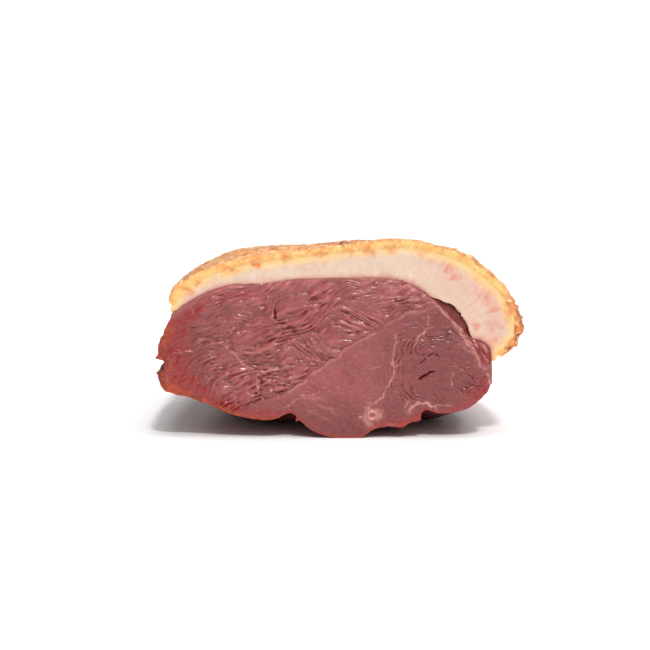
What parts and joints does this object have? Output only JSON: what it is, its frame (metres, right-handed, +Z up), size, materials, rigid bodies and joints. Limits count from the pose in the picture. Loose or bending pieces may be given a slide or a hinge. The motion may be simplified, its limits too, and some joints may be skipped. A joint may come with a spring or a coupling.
{
  "type": "smoked duck breast",
  "caption": "Half of a smoked duck breast, cut straight across: pink lean meat under a cap of pale fat and golden smoked skin, resting flat on its meat side.",
  "frame": {"origin": "bottom centre of the whole piece, on the board it rests on", "axes": "+Z up from the board, the cut face looks along -Y with +X to its right, and the breast narrows to its tip along +Y"},
  "size_m": [0.0818, 0.09, 0.045],
  "materials": {
    "lean_meat": "satin",
    "fat": "satin",
    "smoked_skin": "satin"
  },
  "bodies": {
    "root": {"breast_meat": "lean_meat", "fat_layer": "fat", "skin": "smoked_skin"}
  },
  "joints": []
}
